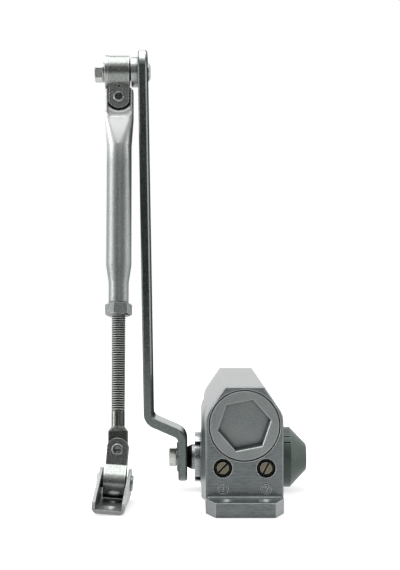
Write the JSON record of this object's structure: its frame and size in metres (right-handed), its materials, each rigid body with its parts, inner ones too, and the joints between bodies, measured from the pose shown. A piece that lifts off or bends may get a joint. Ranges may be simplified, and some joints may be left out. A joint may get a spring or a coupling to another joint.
{
  "type": "hydraulic door closer",
  "caption": "Rack-and-pinion door closer: oil-filled body with end lugs, cranked main arm on a square spindle and an adjustable forearm with a foot bracket",
  "frame": {"origin": "middle of the body's four fixing holes, on its mounting face", "axes": "+Z away from the mounting face, Y along the body with the two valve screws at -Y, X along the spindle with the arm at -X"},
  "size_m": [0.12, 0.176, 0.2506],
  "materials": {
    "silver_casting": "satin silver enamel over a casting",
    "silver_plug": "satin silver",
    "zinc_steel": "bright zinc plate",
    "zinc_bracket": "bright zinc plate on pressed sheet",
    "black_rubber": "matt black",
    "black_plastic": "matt black",
    "bronze": "sintered bronze",
    "green_grey_plastic": "satin moulded plastic",
    "spring_steel": "blued spring wire",
    "ground_steel": "ground",
    "polished_steel": "polished",
    "grey_painted_steel": "satin dark grey enamel",
    "silver_painted_tube": "satin silver enamel",
    "strap_steel": "bent strip with a dark plate",
    "nickel_brass": "dull nickel plate on brass",
    "white_nylon": "moulded"
  },
  "bodies": {
    "body": {"housing": "silver_casting", "front_plug": "silver_plug", "rear_plug": "silver_plug", "front_plug_ring": "black_rubber", "rear_plug_ring": "black_rubber", "gland_nut_left": "zinc_steel", "gland_nut_right": "zinc_steel", "gland_ring_left": "black_rubber", "gland_ring_right": "black_rubber", "spindle_bush_left": "bronze", "spindle_bush_right": "bronze", "shaft_seal_left": "black_rubber", "shaft_seal_right": "black_rubber", "thrust_washer_left": "bronze", "thrust_washer_right": "bronze", "spindle_cap": "green_grey_plastic", "valve_ring_1": "black_plastic", "valve_ring_2": "black_plastic", "return_spring": "spring_steel"},
    "spindle": {"pinion_shaft": "ground_steel", "dust_seal": "black_rubber", "main_arm": "grey_painted_steel", "arm_washer": "zinc_steel", "arm_bolt": "zinc_steel", "elbow_stud": "zinc_steel", "elbow_washer": "zinc_steel", "spring_washer": "zinc_steel", "elbow_bolt": "zinc_steel"},
    "piston": {"piston": "ground_steel", "piston_rings": "white_nylon", "check_ring": "ground_steel"},
    "ball": {"check_ball": "polished_steel"},
    "valve_1": {"valve_screw_1": "nickel_brass", "valve_seal_1": "black_rubber"},
    "valve_2": {"valve_screw_2": "nickel_brass", "valve_seal_2": "black_rubber"},
    "knuckle": {"elbow_strap": "strap_steel", "elbow_bush": "white_nylon", "elbow_rivet": "zinc_steel"},
    "forearm": {"forearm_tube": "silver_painted_tube"},
    "nut": {"lock_nut": "zinc_steel"},
    "rod": {"threaded_rod": "zinc_steel"},
    "foot": {"foot_strap": "strap_steel", "foot_bush": "white_nylon", "foot_rivet": "zinc_steel"},
    "bracket": {"foot_bracket": "zinc_bracket", "bracket_pin": "zinc_steel"}
  },
  "joints": [
    {"name": "spindle_turn", "type": "hinge", "parent": "body", "child": "spindle", "pos_m": [0, 0, 0.0185], "axis": [-1, 0, 0], "range_deg": [0, 170], "stiffness_Nm_per_rad": 0.6, "springref_deg": -28.65},
    {"name": "piston_slide", "type": "slide", "parent": "body", "child": "piston", "axis": [0, 1, 0], "range_m": [0, 0.0312], "deforming": ["return_spring"]},
    {"name": "check_ball_lift", "type": "slide", "parent": "piston", "child": "ball", "axis": [0, -1, 0], "range_m": [0, 0.0008]},
    {"name": "valve_1_turn", "type": "hinge", "parent": "body", "child": "valve_1", "pos_m": [-0.0111, -0.07, 0.0225], "axis": [0, 1, 0], "range_deg": [-360, 360]},
    {"name": "valve_2_turn", "type": "hinge", "parent": "body", "child": "valve_2", "pos_m": [0.0111, -0.07, 0.0225], "axis": [0, 1, 0], "range_deg": [-360, 360]},
    {"name": "elbow_swing", "type": "hinge", "parent": "spindle", "child": "knuckle", "pos_m": [-0.0684, 0, 0.2379], "axis": [1, 0, 0], "continuous": true},
    {"name": "forearm_tilt", "type": "hinge", "parent": "knuckle", "child": "forearm", "pos_m": [-0.0684, -0.00311, 0.2222], "axis": [0, -0.981, 0.1942], "range_deg": [-2.5, 2]},
    {"name": "lock_nut_turn", "type": "hinge", "parent": "forearm", "child": "nut", "pos_m": [-0.06744, -0.02675, 0.10283], "axis": [0.0079, -0.1942, -0.9809], "continuous": true},
    {"name": "rod_adjust", "type": "slide", "parent": "forearm", "child": "rod", "axis": [0.0079, -0.1942, -0.9809], "range_m": [-0.03, 0.025]},
    {"name": "foot_tilt", "type": "hinge", "parent": "rod", "child": "foot", "pos_m": [-0.06684, -0.0416, 0.02783], "axis": [0, -0.981, 0.1942], "range_deg": [-4, 12]},
    {"name": "bracket_swing", "type": "hinge", "parent": "foot", "child": "bracket", "pos_m": [-0.06819, -0.04491, 0.0111], "axis": [0.9969, -0.0152, -0.077], "range_deg": [-80, 70]}
  ],
  "couplings": [
    {"joint": "piston_slide", "follows": "spindle_turn", "m_per_rad": 0.0105}
  ]
}
